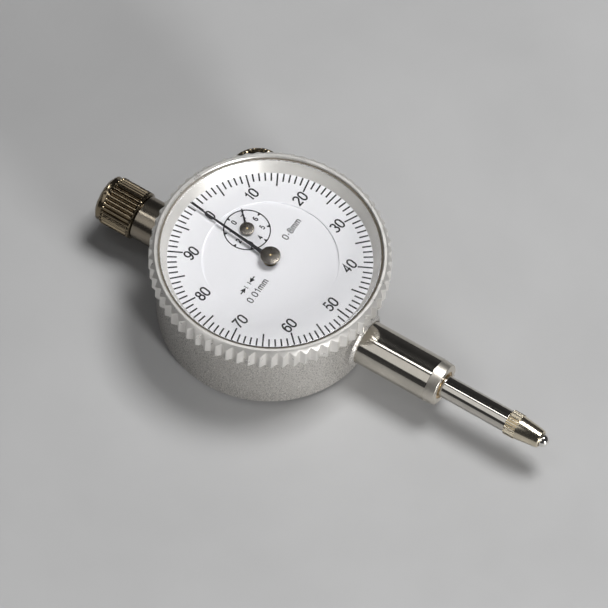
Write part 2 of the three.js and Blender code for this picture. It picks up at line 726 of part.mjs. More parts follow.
// A flat tapering hand with a round eye, pointing along +Y from the eye's centre.
function hand(length, rootWidth, tipWidth, eyeRadius, boreRadius, bottom, top) {
  const blade = plate([
    [-rootWidth / 2, eyeRadius / 2],
    [rootWidth / 2, eyeRadius / 2],
    [tipWidth / 2, length],
    [-tipWidth / 2, length],
  ], bottom, top);
  return cut(join(disc(eyeRadius, bottom, top, 20), blade), disc(boreRadius, bottom - 1, top + 1, 20));
}

// A hand's hub with a collar below it, bored from below for the arbor.
function hub(radius, collarRadius, bottom, shoulder, top, boreTop) {
  const bore = 0.55;
  return turned([
    [0, boreTop],
    [bore, boreTop],
    [bore, bottom],
    [collarRadius, bottom],
    [collarRadius, shoulder],
    [radius, shoulder],
    [radius, top - 0.15],
    [radius - 0.15, top],
    [0, top],
  ], 20);
}

function addPointer(group) {
  const teeth = plate(pinionOutline(CENTRE_TEETH, GEAR_MODULE, ARBOR_DIRECTION), 11, 11.9);
  part(group, "centre_pinion", join(handArbor(16.9), teeth), FINISH.steel);
  const blade = hand(POINTER_LENGTH, 0.75, 0.15, 1.3, 0.9, POINTER_HEIGHT, POINTER_HEIGHT + 0.15);
  part(group, "pointer", blade, FINISH.black).rotation.z = POINTER_ANGLE;
  const pointerHub = hub(POINTER_HUB_RADIUS, 0.85, 15.9, 16.55, POINTER_HUB_TOP, 17);
  part(group, "pointer_hub", pointerHub, FINISH.darkNickel);
}

function addCounter(group) {
  part(group, "takeup_arbor", handArbor(15.95), FINISH.steel);
  const halfTooth = Math.PI / GEAR_TEETH;
  part(group, "takeup_gear", gear(ARBOR_DIRECTION + Math.PI + halfTooth, 0.55), FINISH.brass);
  const blade = hand(SMALL_HAND_LENGTH, 0.5, 0.12, 0.95, 0.75, 15.6, 15.7);
  part(group, "small_hand", blade, FINISH.black).rotation.z = SMALL_HAND_ANGLE;
  const smallHub = hub(SMALL_HUB_RADIUS, 0.7, 15.45, 15.75, SMALL_HUB_TOP, 16);
  part(group, "small_hand_hub", smallHub, FINISH.darkNickel);
}

// ---- Bezel ----

function bezelRing() {
  const outer = BEZEL_RIDGE + 0.5;
  const slope = (BEZEL_TOP - RIB_TOP) / (BEZEL_RIDGE - RIM_OUTER);
  const star = plate(ribbed(BEZEL_RIDGE, BEZEL_VALLEY, BEZEL_RIBS), BEZEL_BOTTOM, BEZEL_TOP);
  const chamfer = turned([
    [0, BEZEL_BOTTOM],
    [outer, BEZEL_BOTTOM],
    [outer, BEZEL_TOP - slope * (outer - RIM_OUTER)],
    [RIM_OUTER, BEZEL_TOP],
    [0, BEZEL_TOP],
  ], BEZEL_RIBS);
  const bore = turned([
    [0, BEZEL_BOTTOM - 1],
    [SKIRT_BORE, BEZEL_BOTTOM - 1],
    [SKIRT_BORE, SNAP_GROOVE_BOTTOM],
    [SKIRT_BORE + SNAP_GROOVE_DEPTH, SNAP_GROOVE_BOTTOM],
    [SKIRT_BORE + SNAP_GROOVE_DEPTH, SNAP_GROOVE_TOP],
    [SKIRT_BORE, SNAP_GROOVE_TOP],
    [SKIRT_BORE, SCALE_TOP - SCALE_THICKNESS],
    [BEZEL_BORE, SCALE_TOP - SCALE_THICKNESS],
    [BEZEL_BORE, BEZEL_TOP - 0.15],
    [RIM_INNER, BEZEL_TOP],
    [RIM_INNER, BEZEL_TOP + 1],
    [0, BEZEL_TOP + 1],
  ], SEGMENTS);
  return cut(common(star, chamfer), bore);
}

function reflectorRing() {
  return turned([
    [REFLECTOR_INNER, SCALE_TOP],
    [RING_OUTER, SCALE_TOP],
    [RING_OUTER, CRYSTAL_BOTTOM],
    [REFLECTOR_UPPER, CRYSTAL_BOTTOM],
    [REFLECTOR_UPPER, CRYSTAL_BOTTOM - 0.15],
  ], SEGMENTS);
}

function addBezel(group) {
  part(group, "bezel_ring", bezelRing(), FINISH.satinSilver);
  const scale = ring(SCALE_INNER, RING_OUTER, SCALE_TOP - SCALE_THICKNESS, SCALE_TOP, SEGMENTS);
  part(group, "scale_dial", scale, FINISH.dialWhite);
  part(group, "reflector_ring", reflectorRing(), FINISH.satinSilver);
  part(group, "crystal", disc(RING_OUTER, CRYSTAL_BOTTOM, CRYSTAL_TOP, SEGMENTS), FINISH.glass);
}

// ---- Bezel clamp and dust cap ----

function clampKnob() {
  const body = turned([
    [0, CLAW_INNER - 0.1],
    [CLAMP_SHAFT_RADIUS, CLAW_INNER - 0.1],
    [CLAMP_SHAFT_RADIUS, CASE_RADIUS + 0.1],
    [2.2, CASE_RADIUS + 0.1],
    [2.2, KNOB_FROM],
    [KNOB_RADIUS - 0.3, KNOB_FROM],
    [KNOB_RADIUS, KNOB_FROM + 0.3],
    [KNOB_RADIUS, KNOB_TO - 0.3],
    [KNOB_RADIUS - 0.3, KNOB_TO],
    [0, KNOB_TO],
  ], KNOB_KNURLS);
  const ridges = ribbed(KNOB_RADIUS, KNOB_RADIUS - KNOB_KNURL_DEPTH, KNOB_KNURLS);
  return common(body, plate(ridges, 16, KNOB_TO + 1));
}

function clampClaw() {
  const upright = block([-CLAW_HALF_WIDTH, CLAW_HALF_WIDTH], [CLAW_INNER, CLAW_OUTER], [-2.5, 4.6]);
  const nose = block([-1.5, 1.5], [CLAW_INNER, CLAW_NOSE_END], [4.55, 5.2]);
  const hole = disc(CLAMP_SHAFT_RADIUS + CLAMP_SHAFT_GAP, 15, 18, 16).rotateX(-Math.PI / 2);
  return cut(join(upright, nose), hole);
}

function dustCap() {
  const body = turned([
    [CAP_BORE, TUBE_SHOULDER],
    [CAP_RADIUS - 0.25, TUBE_SHOULDER],
    [CAP_RADIUS, TUBE_SHOULDER + 0.3],
    [CAP_RADIUS, CAP_KNURL_END],
    [CAP_RADIUS - 0.45, CAP_END - 0.5],
    [CAP_RADIUS - 1.1, CAP_END],
    [0, CAP_END],
    [0, CAP_INNER_END],
    [CAP_BORE, CAP_INNER_END],
  ], CAP_KNURLS);
  const ridges = ribbed(CAP_RADIUS, CAP_RADIUS - CAP_KNURL_DEPTH, CAP_KNURLS);
  return common(body, plate(ridges, TUBE_SHOULDER - 1, CAP_END + 1));
}

// ---- Assembly ----

const indicator = new THREE.Group();

function bodyGroup(x = 0, y = 0) {
  const group = new THREE.Group();
  group.position.set(x, y, 0);
  indicator.add(group);
  return group;
}

const fixed = bodyGroup();
addCase(fixed);
addMovementFrame(fixed);
part(fixed, "inner_dial", innerDial(), FINISH.dialWhite);
addPlunger(bodyGroup());
addRackArbor(bodyGroup(-ARBOR_X, -ARBOR_Y));
addPointer(bodyGroup());
addCounter(bodyGroup(ARBOR_X, ARBOR_Y));

const bezelGroup = bodyGroup();
bezelGroup.rotation.z = -BEZEL_TURN;
addBezel(bezelGroup);

const clampGroup = bodyGroup();
clampGroup.position.z = CLAMP_HEIGHT;
clampGroup.rotation.z = -CLAMP_ANGLE;
part(clampGroup, "clamp_knob", clampKnob(), FINISH.warmNickel).rotation.x = -Math.PI / 2;
part(clampGroup, "clamp_claw", clampClaw(), FINISH.steel);

const capMesh = part(bodyGroup(), "dust_cap", dustCap(), FINISH.warmNickel);
capMesh.rotation.x = -Math.PI / 2;
capMesh.position.z = AXIS_HEIGHT;

export default indicator;
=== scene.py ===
"""Looks of a 0-8 mm dial indicator lying on its back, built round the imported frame.

Lengths in this script are in millimetres and are turned into metres where a mesh is made.
"""

import json
import math

import bmesh
import bpy
from mathutils import Matrix, Quaternion, Vector


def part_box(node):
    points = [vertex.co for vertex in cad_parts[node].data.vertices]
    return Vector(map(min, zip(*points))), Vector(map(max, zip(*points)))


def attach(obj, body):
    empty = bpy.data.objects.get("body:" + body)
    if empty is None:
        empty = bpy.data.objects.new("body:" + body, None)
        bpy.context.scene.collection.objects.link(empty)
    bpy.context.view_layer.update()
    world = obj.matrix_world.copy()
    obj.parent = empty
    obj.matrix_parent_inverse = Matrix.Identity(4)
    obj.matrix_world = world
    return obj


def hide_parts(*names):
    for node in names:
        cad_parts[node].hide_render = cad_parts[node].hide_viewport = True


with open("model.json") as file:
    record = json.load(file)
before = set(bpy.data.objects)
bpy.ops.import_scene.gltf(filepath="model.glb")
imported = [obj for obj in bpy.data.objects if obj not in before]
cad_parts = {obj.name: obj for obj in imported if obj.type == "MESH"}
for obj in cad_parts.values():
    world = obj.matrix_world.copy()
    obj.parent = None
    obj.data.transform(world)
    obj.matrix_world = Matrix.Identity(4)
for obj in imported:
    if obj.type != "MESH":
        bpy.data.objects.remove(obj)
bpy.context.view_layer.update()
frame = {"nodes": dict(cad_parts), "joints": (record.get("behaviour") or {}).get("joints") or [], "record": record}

MM = 0.001
UP = Vector((0, 0, 1))


# ---- Measures taken from the frame, in millimetres ----

def low(node):
    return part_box(node)[0] / MM


def high(node):
    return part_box(node)[1] / MM


def middle(node):
    return (low(node) + high(node)) / 2


def joint(name):
    return next(j for j in frame["joints"] if j["name"] == name)


STEM_AXIS = middle("stem")
CLAMP_DIRECTION = Vector(joint("clamp_knob_turn")["axis"])
COUNTER_CENTRE = Vector(joint("counter_turn")["pos_m"]) / MM
SCALE_TURN = math.radians(-7.8)

ROUND = 192          # flat facets round the large circles
SMALL_ROUND = 96     # and round the stem, the rod and the knobs
PRINT_DEPTH = 0.02   # how far the print stands above the dial


# ---- Meshes ----

def rounded(outline, steps=4):
    """Rounds each corner of a closed outline that carries a radius as its third number."""
    points = []
    for i, corner in enumerate(outline):
        here = Vector(corner[:2])
        radius = corner[2] if len(corner) == 3 else 0
        if not radius:
            points.append(here)
            continue
        before = (Vector(outline[i - 1][:2]) - here).normalized()
        after = (Vector(outline[(i + 1) % len(outline)][:2]) - here).normalized()
        half = before.angle(after) / 2
        centre = here + (before + after).normalized() * radius / math.sin(half)
        first = here + before * radius / math.tan(half) - centre
        last = here + after * radius / math.tan(half) - centre
        sweep = first.angle(last)
        for step in range(steps + 1):
            share = step / steps
            mixed = first * math.sin((1 - share) * sweep) + last * math.sin(share * sweep)
            points.append(centre + mixed / math.sin(sweep))
    return points


def turned(outline, segments=ROUND, radius_at=None):
    """Vertices and faces of a (radius, height) outline turned about Z. An outline that starts and
    ends on the axis is a solid, and any other closes on itself. radius_at(radius, height, angle)
    can move each point in or out, as a knurl does."""
    points = rounded(outline)
    verts, faces, rows = [], [], []
    for radius, height in points:
        on_axis = radius < 1e-6
        row = []
        for k in range(1 if on_axis else segments):
            angle = 2 * math.pi * k / segments
            reach = radius_at(radius, height, angle) if radius_at and not on_axis else radius
            row.append(len(verts))
            verts.append((reach * math.cos(angle), reach * math.sin(angle), height))
        rows.append(row)
    pairs = list(zip(rows, rows[1:]))
    if len(rows[0]) > 1 or len(rows[-1]) > 1:
        pairs.append((rows[-1], rows[0]))
    for lower, upper in pairs:
        if len(lower) == 1 and len(upper) == 1:
            continue
        for k in range(segments):
            following = (k + 1) % segments
            corners = [lower[k % len(lower)], lower[following % len(lower)]]
            corners += [upper[following % len(upper)], upper[k % len(upper)]]
            faces.append(tuple(dict.fromkeys(corners)))
    return verts, faces


def prism(outline, bottom, top):
    """Vertices and faces of a flat outline of (x, y) points given a thickness."""
    count = len(outline)
    verts = [(x, y, bottom) for x, y in outline] + [(x, y, top) for x, y in outline]
    faces = [tuple(range(count - 1, -1, -1)), tuple(range(count, 2 * count))]
    for k in range(count):
        following = (k + 1) % count
        faces.append((k, following, count + following, count + k))
    return verts, faces


def box(x, y, z):
    return prism([(x[0], y[0]), (x[1], y[0]), (x[1], y[1]), (x[0], y[1])], z[0], z[1])


def moved(shape, matrix):
    verts, faces = shape
    return [tuple(matrix @ Vector(v)) for v in verts], faces


def joined(shapes):
    """Several shapes as one list of vertices and faces."""
    verts, faces = [], []
    for shape_verts, shape_faces in shapes:
        start = len(verts)
        verts += shape_verts
        faces += [tuple(start + index for index in face) for face in shape_faces]
    return verts, faces


ALONG_STEM = Matrix.Translation((0, 0, STEM_AXIS.z)) @ Matrix.Rotation(-math.pi / 2, 4, "X")


def clamp_place():
    """Takes +Z to the clamp screw's axis and keeps heights upright."""
    turn = math.atan2(-CLAMP_DIRECTION.x, CLAMP_DIRECTION.y)
    height = joint("clamp_knob_turn")["pos_m"][2] / MM
    lift = Matrix.Translation((0, 0, height))
    return lift @ Matrix.Rotation(turn, 4, "Z") @ Matrix.Rotation(-math.pi / 2, 4, "X")


def mesh_object(name, shape):
    verts, faces = shape
    mesh = bpy.data.meshes.new(name)
    mesh.from_pydata([Vector(v) * MM for v in verts], [], faces)
    work = bmesh.new()
    work.from_mesh(mesh)
    bmesh.ops.recalc_face_normals(work, faces=work.faces)
    work.to_mesh(mesh)
    work.free()
    made = bpy.data.objects.new(name, mesh)
    bpy.context.scene.collection.objects.link(made)
    return made


def shade(made, angle=32):
    made.data.polygons.foreach_set("use_smooth", [True] * len(made.data.polygons))
    made.data.set_sharp_from_angle(angle=math.radians(angle))
    normals = made.modifiers.new("normals", "WEIGHTED_NORMAL")
    normals.keep_sharp = True


def carve(made, shape, operation="DIFFERENCE"):
    """Cuts a shape from a piece, or adds it, and keeps the result as the piece's mesh."""
    tool = mesh_object("tool", shape)
    step = made.modifiers.new("carve", "BOOLEAN")
    step.object = tool
    step.operation = operation
    step.solver = "EXACT"
    bpy.context.view_layer.update()
    depsgraph = bpy.context.evaluated_depsgraph_get()
    result = bpy.data.meshes.new_from_object(made.evaluated_get(depsgraph))
    made.modifiers.clear()
    made.data = result
    bpy.data.objects.remove(tool)


def settle(made, material, body, nodes=(), angle=32):
    """Gives a piece its material, its body and the CAD nodes that it stands for."""
    made.data.materials.clear()
    made.data.materials.append(material)
    shade(made, angle)
    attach(made, body)
    if nodes:
        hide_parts(*nodes)


# ---- Materials ----

class Recipe:
    """A procedural material in the making: one Principled shader with what feeds it."""

    def __init__(self, name, metallic=0.0, **sockets):
        self.material = bpy.data.materials.new(name)
        self.material.use_nodes = True
        self.tree = self.material.node_tree
        self.shader = self.tree.nodes["Principled BSDF"]
        self.shader.inputs["Metallic"].default_value = metallic
        for socket, value in sockets.items():
            self.shader.inputs[socket.replace("_", " ")].default_value = value
        self.place = self.tree.nodes.new("ShaderNodeTexCoord").outputs["Object"]
        self.normal = None

    def node(self, kind):
        return self.tree.nodes.new(kind)

    def texture(self, kind, size, stretch=(1, 1, 1)):
        """A texture whose features are about that many millimetres across."""
        mapping = self.node("ShaderNodeMapping")
        mapping.inputs["Scale"].default_value = [1 / (size * MM * s) for s in stretch]
        self.tree.links.new(self.place, mapping.inputs["Vector"])
        made = self.node(kind)
        made.inputs["Scale"].default_value = 1.0
        self.tree.links.new(mapping.outputs[0], made.inputs["Vector"])
        return made

    def noise(self, size, detail=2.0, stretch=(1, 1, 1)):
        made = self.texture("ShaderNodeTexNoise", size, stretch)
        made.inputs["Detail"].default_value = detail
        return made.outputs["Fac"]

    def cells(self, size):
        return self.texture("ShaderNodeTexVoronoi", size).outputs["Distance"]

    def colour(self, value, dark, light, edges=(0.35, 0.65)):
        """A base colour that runs from dark to light between two values of a texture."""
        ramp = self.node("ShaderNodeValToRGB")
        ramp.color_ramp.elements[0].position = edges[0]
        ramp.color_ramp.elements[1].position = edges[1]
        ramp.color_ramp.elements[0].color = (*dark, 1)
        ramp.color_ramp.elements[1].color = (*light, 1)
        self.tree.links.new(value, ramp.inputs["Fac"])
        self.tree.links.new(ramp.outputs["Color"], self.shader.inputs["Base Color"])

    def roughness(self, value, least, most):
        """Gloss that varies with a noise, whose values lie mostly between 0.3 and 0.7."""
        spread = self.node("ShaderNodeMapRange")
        spread.inputs["From Min"].default_value = 0.3
        spread.inputs["From Max"].default_value = 0.7
        spread.inputs["To Min"].default_value = least
        spread.inputs["To Max"].default_value = most
        self.tree.links.new(value, spread.inputs["Value"])
        self.tree.links.new(spread.outputs["Result"], self.shader.inputs["Roughness"])

    def bump(self, value, depth):
        """Relief that many millimetres deep, on top of any relief so far."""
        relief = self.node("ShaderNodeBump")
        relief.inputs["Strength"].default_value = 1.0
        relief.inputs["Distance"].default_value = depth * MM
        self.tree.links.new(value, relief.inputs["Height"])
        if self.normal:
            self.tree.links.new(self.normal, relief.inputs["Normal"])
        self.normal = relief.outputs["Normal"]
        self.tree.links.new(self.normal, self.shader.inputs["Normal"])


def tone(base, change):
    """A colour made lighter or darker by a factor."""
    return tuple(min(1.0, channel * change) for channel in base)


def granular_paint():
    """Metallic paint with a fine sandy grain."""
    recipe = Recipe("granular_silver_paint", metallic=0.6)
    grain = recipe.noise(0.2, detail=3.0)
    recipe.colour(grain, (0.33, 0.315, 0.295), (0.66, 0.64, 0.605), edges=(0.36, 0.62))
    recipe.roughness(recipe.noise(0.25), 0.24, 0.4)
    recipe.bump(recipe.noise(0.3, detail=2.0), 0.13)
    recipe.bump(recipe.cells(0.34), 0.05)
    return recipe.material


def plated(name, base, roughness, stretch=(1, 1, 1), grain=0.12, depth=0.0015, patches=0.06,
           metallic=1.0):
    """Plated or ground metal: fine lines drawn along it, and faint patches of tone."""
    recipe = Recipe(name, metallic=metallic)
    patchy = recipe.noise(2.5, detail=3.0)
    recipe.colour(patchy, tone(base, 1 - patches), tone(base, 1 + patches), edges=(0.3, 0.7))
    lines = recipe.noise(grain, detail=3.0, stretch=stretch)
    recipe.roughness(lines, roughness * 0.9, roughness * 1.12)
    if depth:
        recipe.bump(lines, depth)
    return recipe.material


def dial_paint():
    """Smooth bluish white paint."""
    recipe = Recipe("dial_white_paint", Specular_IOR_Level=0.35)
    recipe.colour(recipe.noise(0.5, detail=4.0), (0.91, 0.91, 0.94), (0.94, 0.94, 0.965))
    recipe.roughness(recipe.noise(0.3), 0.42, 0.55)
    recipe.bump(recipe.noise(0.08), 0.0008)
    return recipe.material


def dark_enamel(name, base=(0.012, 0.012, 0.014), roughness=0.35):
    """Ink, lacquer and dark paint, and a dark colour painted as the shade in the gap round the crystal."""
    recipe = Recipe(name, Specular_IOR_Level=0.3)
    recipe.colour(recipe.noise(0.3), tone(base, 0.8), tone(base, 1.3))
    recipe.roughness(recipe.noise(0.2), roughness * 0.8, roughness * 1.2)
    recipe.bump(recipe.noise(0.15), 0.001)
    return recipe.material


def clear_acrylic():
    """The flat crystal: it mirrors the room, and rays between the lamps and the dial pass straight."""
    recipe = Recipe("clear_acrylic", Roughness=0.0, IOR=1.47, Transmission_Weight=1.0)
    recipe.shader.inputs["Base Color"].default_value = (0.99, 0.99, 0.99, 1)
    recipe.bump(recipe.noise(9.0, detail=1.0), 0.001)
    through = recipe.node("ShaderNodeBsdfTransparent")
    through.inputs["Color"].default_value = (1, 1, 1, 1)
    paths = recipe.node("ShaderNodeLightPath")
    straight = recipe.node("ShaderNodeMath")
    straight.operation = "MAXIMUM"
    recipe.tree.links.new(paths.outputs["Is Shadow Ray"], straight.inputs[0])
    recipe.tree.links.new(paths.outputs["Is Diffuse Ray"], straight.inputs[1])
    mix = recipe.node("ShaderNodeMixShader")
    output = recipe.tree.nodes["Material Output"]
    recipe.tree.links.new(straight.outputs[0], mix.inputs["Fac"])
    recipe.tree.links.new(recipe.shader.outputs[0], mix.inputs[1])
    recipe.tree.links.new(through.outputs[0], mix.inputs[2])
    recipe.tree.links.new(mix.outputs[0], output.inputs["Surface"])
    return recipe.material


NICKEL = (0.60, 0.565, 0.50)
WARM_NICKEL = (0.29, 0.255, 0.205)
ALONG_X = (30, 1, 1)     # how far a grain is drawn out along each axis
ALONG_Y = (1, 60, 1)
ROUND_Y = (1, 0.4, 1)

PAINT = granular_paint()
SATIN = plated("satin_silver", (0.82, 0.80, 0.765), 0.3, grain=1.5, depth=0, patches=0.04,
               metallic=0.7)
REFLECTOR = plated("reflector_silver", (0.70, 0.685, 0.655), 0.36, grain=0.2, depth=0.001,
                   patches=0.03, metallic=0.6)
STEM_NICKEL = plated("stem_nickel", NICKEL, 0.1, stretch=ALONG_Y, depth=0.001)
TUBE_NICKEL = plated("tube_nickel", WARM_NICKEL, 0.2, stretch=ROUND_Y, grain=0.3, depth=0.004)
MATT_NICKEL = plated("matt_nickel", (0.70, 0.66, 0.59), 0.38, grain=0.08, depth=0.003)
CAP_NICKEL = plated("cap_nickel", (0.25, 0.205, 0.14), 0.16, grain=0.1, depth=0.003, patches=0.14)
CONTACT_NICKEL = plated("contact_nickel", (0.78, 0.70, 0.55), 0.18, grain=0.1, patches=0.1)
ROD_STEEL = plated("rod_steel", (0.64, 0.61, 0.555), 0.08, stretch=ALONG_Y, depth=0.0008)
BALL_STEEL = plated("ball_steel", (0.88, 0.86, 0.82), 0.14, grain=0.3, depth=0.0004)
PLAIN_STEEL = plated("screw_steel", (0.66, 0.65, 0.63), 0.24, grain=0.1)
HUB_NICKEL = plated("hub_nickel", (0.24, 0.22, 0.195), 0.2, grain=0.12, depth=0.002, patches=0.3)
BRASS = plated("rolled_brass", (0.72, 0.56, 0.28), 0.28, stretch=ALONG_X, grain=0.1)
BRONZE = plated("sintered_bronze", (0.60, 0.44, 0.24), 0.36, grain=0.12, depth=0.006, patches=0.15)
DIAL = dial_paint()
INK = dark_enamel("print_ink", base=(0.006, 0.006, 0.007), roughness=0.6)
HAND_ENAMEL = dark_enamel("hand_enamel", roughness=0.32)
COVER_PAINT = dark_enamel("cover_paint", base=(0.035, 0.034, 0.033), roughness=0.5)
# painted shade: a dark brown colour for the shadowed gap between the crystal and the bezel's bore
GAP_SHADE = dark_enamel("painted_gap_shade", base=(0.15, 0.13, 0.10), roughness=0.35)
CRYSTAL = clear_acrylic()


# ---- Print on the dials ----

def arc(centre_x, centre_y, radius_x, radius_y, start, end, steps=14):
    """Points along an ellipse, between two angles in degrees."""
    points = []
    for k in range(steps + 1):
        angle = math.radians(start + (end - start) * k / steps)
        points.append((centre_x + radius_x * math.cos(angle), centre_y + radius_y * math.sin(angle)))
    return points


SIX = [arc(0.25, 0.31, 0.25, 0.31, 0, 360, 28), arc(0.29, 0.46, 0.29, 0.54, 48, 180) + [(0, 0.31)]]
ZERO = arc(0.25, 0.68, 0.25, 0.32, 0, 180) + arc(0.25, 0.32, 0.25, 0.32, 180, 360) + [(0.5, 0.68)]

# Each glyph is a list of pen strokes, one unit high, and its width.
GLYPHS = {
    "0": ([ZERO], 0.5),
    "1": ([[(0.04, 0.76), (0.17, 0.85), (0.27, 1), (0.27, 0)]], 0.36),
    "2": ([arc(0.25, 0.72, 0.25, 0.28, 165, -38, 18) + [(0.16, 0.24), (0.03, 0.08), (0, 0), (0.5, 0)]], 0.5),
    "3": ([arc(0.24, 0.755, 0.22, 0.245, 155, -90), arc(0.23, 0.265, 0.26, 0.265, 82, -158)], 0.5),
    "4": ([[(0.37, 0), (0.37, 1), (0, 0.3), (0.52, 0.3)]], 0.52),
    "5": ([[(0.45, 1), (0.12, 1), (0.05, 0.5)] + arc(0.23, 0.31, 0.27, 0.32, 130, -155, 20)], 0.5),
    "6": (SIX, 0.5),
    "7": ([[(0, 1), (0.5, 1), (0.34, 0.68), (0.22, 0.34), (0.17, 0)]], 0.5),
    "8": ([arc(0.25, 0.765, 0.2, 0.235, 0, 360, 26), arc(0.25, 0.265, 0.25, 0.265, 0, 360, 28)], 0.5),
    "9": ([[(0.5 - x, 1 - y) for x, y in stroke] for stroke in SIX], 0.5),
    "m": ([[(0, 0.73), (0, 0)],
           [(0, 0.4)] + arc(0.17, 0.52, 0.17, 0.2, 180, 0) + [(0.34, 0)],
           [(0.34, 0.4)] + arc(0.51, 0.52, 0.17, 0.2, 180, 0) + [(0.68, 0)]], 0.68),
    "-": ([[(0.02, 0.36), (0.24, 0.36)]], 0.26),
    ".": ([[(0.06, 0), (0.06, 0.035)]], 0.12),
}


def stroke_shape(points, width, bottom, top):
    """A pen stroke of even width, as a flat prism along its points."""
    closed = (Vector(points[0]) - Vector(points[-1])).length < 1e-6
    line = [Vector(p) for p in (points[:-1] if closed else points)]
    count = len(line)
    left, right = [], []
    for k, here in enumerate(line):
        before = line[k - 1] if closed or k else None
        after = line[(k + 1) % count] if closed or k < count - 1 else None
        inward = (here - before).normalized() if before is not None else (after - here).normalized()
        outward = (after - here).normalized() if after is not None else inward
        along = (inward + outward).normalized()
        side = Vector((-along.y, along.x))
        reach = width / 2 / max(0.5, side.dot(Vector((-inward.y, inward.x))))
        left.append(here + side * reach)
        right.append(here - side * reach)
    verts = [(p.x, p.y, z) for z in (bottom, top) for row in (left, right) for p in row]
    faces = []
    lower_left, lower_right, upper_left, upper_right = (range(k * count, (k + 1) * count) for k in range(4))
    for k in range(count if closed else count - 1):
        n = (k + 1) % count
        faces.append((upper_left[k], upper_right[k], upper_right[n], upper_left[n]))
        faces.append((lower_left[n], lower_right[n], lower_right[k], lower_left[k]))
        faces.append((lower_left[k], upper_left[k], upper_left[n], lower_left[n]))
        faces.append((lower_right[n], upper_right[n], upper_right[k], lower_right[k]))
    if not closed:
        for k in (0, count - 1):
            faces.append((lower_left[k], lower_right[k], upper_right[k], upper_left[k]))
    return verts, faces


def text_shape(text, height, pen, centre, surface, squeeze=0.98, gap=0.2):
    """A line of glyphs of that height, centred on a point of the dial."""
    rise = height - pen
    width_scale = rise * squeeze
    widths = [GLYPHS[letter][1] * width_scale for letter in text]
    step = gap * rise
    x = -(sum(widths) + step * (len(text) - 1)) / 2
    shapes = []
    for letter, width in zip(text, widths):
        for stroke in GLYPHS[letter][0]:
            points = [(x + px * width_scale, (py - 0.5) * rise) for px, py in stroke]
            shapes.append(stroke_shape(points, pen, surface, surface + PRINT_DEPTH))
        x += width + step
    return moved(joined(shapes), Matrix.Translation((centre[0], centre[1], 0)))


def dial_point(radius, turn):
    """A point at an angle clockwise from the dial's top."""
    return radius * math.sin(turn), radius * math.cos(turn)


SCALE_RADIUS = 17.57
SCALE_DIVISIONS = 100
TICK_LENGTH = 1.62
FIFTH_TICK_LENGTH = 2.62
TICK_WIDTH = 0.28
NUMERAL_HEIGHT = 2.12
NUMERAL_PEN = 0.3
NUMERAL_RADIUS = 13.5


def scale_print(surface):
    """The ring's hundred divisions and its numerals, which stand upright as the ring was printed."""
    shapes = []
    for k in range(SCALE_DIVISIONS):
        turn = 2 * math.pi * k / SCALE_DIVISIONS
        length = TICK_LENGTH if k % 5 else FIFTH_TICK_LENGTH
        tick = box((-TICK_WIDTH / 2, TICK_WIDTH / 2), (SCALE_RADIUS - length, SCALE_RADIUS),
                   (surface, surface + PRINT_DEPTH))
        shapes.append(moved(tick, Matrix.Rotation(-turn, 4, "Z")))
        if k % 10 == 0:
            centre = dial_point(NUMERAL_RADIUS, turn)
            shapes.append(text_shape(str(k), NUMERAL_HEIGHT, NUMERAL_PEN, centre, surface))
    return moved(joined(shapes), Matrix.Rotation(SCALE_TURN, 4, "Z"))


COUNTER_RADIUS = 4.0
COUNTER_LINE = 0.21
COUNTER_MARKS = 8
COUNTER_MARK_LENGTH = 0.5
COUNTER_NUMERAL_HEIGHT = 1.08
COUNTER_NUMERAL_PEN = 0.19
COUNTER_NUMERAL_RADIUS = 2.66


def ring_stroke(centre, radius, width, surface):
    points = arc(centre[0], centre[1], radius, radius, 0, 360, 96)
    return stroke_shape(points, width, surface, surface + PRINT_DEPTH)


def counter_print(surface):
    """The counter's circle with eight marks, numbered the way its hand turns: anticlockwise."""
    x, y = COUNTER_CENTRE.x, COUNTER_CENTRE.y
    shapes = [ring_stroke((x, y), COUNTER_RADIUS, COUNTER_LINE, surface)]
    foot = COUNTER_RADIUS - 0.05
    tip = foot - COUNTER_MARK_LENGTH
    outline = [(-0.27, foot), (-0.06, tip), (0.06, tip), (0.27, foot)]
    mark = prism(outline, surface, surface + PRINT_DEPTH)
    for k in range(COUNTER_MARKS):
        turn = -2 * math.pi * k / COUNTER_MARKS
        place = Matrix.Translation((x, y, 0)) @ Matrix.Rotation(-turn, 4, "Z")
        shapes.append(moved(mark, place))
        dx, dy = dial_point(COUNTER_NUMERAL_RADIUS, turn)
        numeral = text_shape(str(k), COUNTER_NUMERAL_HEIGHT, COUNTER_NUMERAL_PEN, (x + dx, y + dy), surface)
        shapes.append(numeral)
    return joined(shapes)


LEGEND_HEIGHT = 1.28
LEGEND_PEN = 0.17
RANGE_PLACE = (7.35, 0.35)
DIVISION_PLACE = (-6.35, -1.5)
ARROWS_PLACE = (-6.35, 0.5)


def division_arrows(surface):
    """Two arrows that point at a pair of bars: the width of one division."""
    bar = [(0.42, -0.42), (0.56, -0.42), (0.56, 0.42), (0.42, 0.42)]
    head = [(0.62, 0), (1.62, -0.47), (1.5, 0), (1.62, 0.47)]
    shaft = [(1.45, -0.11), (2.15, -0.11), (2.15, 0.11), (1.45, 0.11)]
    shapes = []
    for side in (-1, 1):
        for outline in (bar, head, shaft):
            across = [(side * x, y) for x, y in outline][::side]
            shapes.append(prism(across, surface, surface + PRINT_DEPTH))
    return moved(joined(shapes), Matrix.Translation((*ARROWS_PLACE, 0)))


def legend(text, place, surface, gap):
    return text_shape(text, LEGEND_HEIGHT, LEGEND_PEN, place, surface, squeeze=1.12, gap=gap)


DIALS_JOINT = 11.75       # the radius where the outer dial ends and the inner one starts
JOINT_GAP = 0.015
INNER_DIAL_LIFT = 0.2     # how far the inner dial's face stands above the CAD's, to meet the outer
POINTER_HOLE = 1.2
COUNTER_HOLE = 0.8


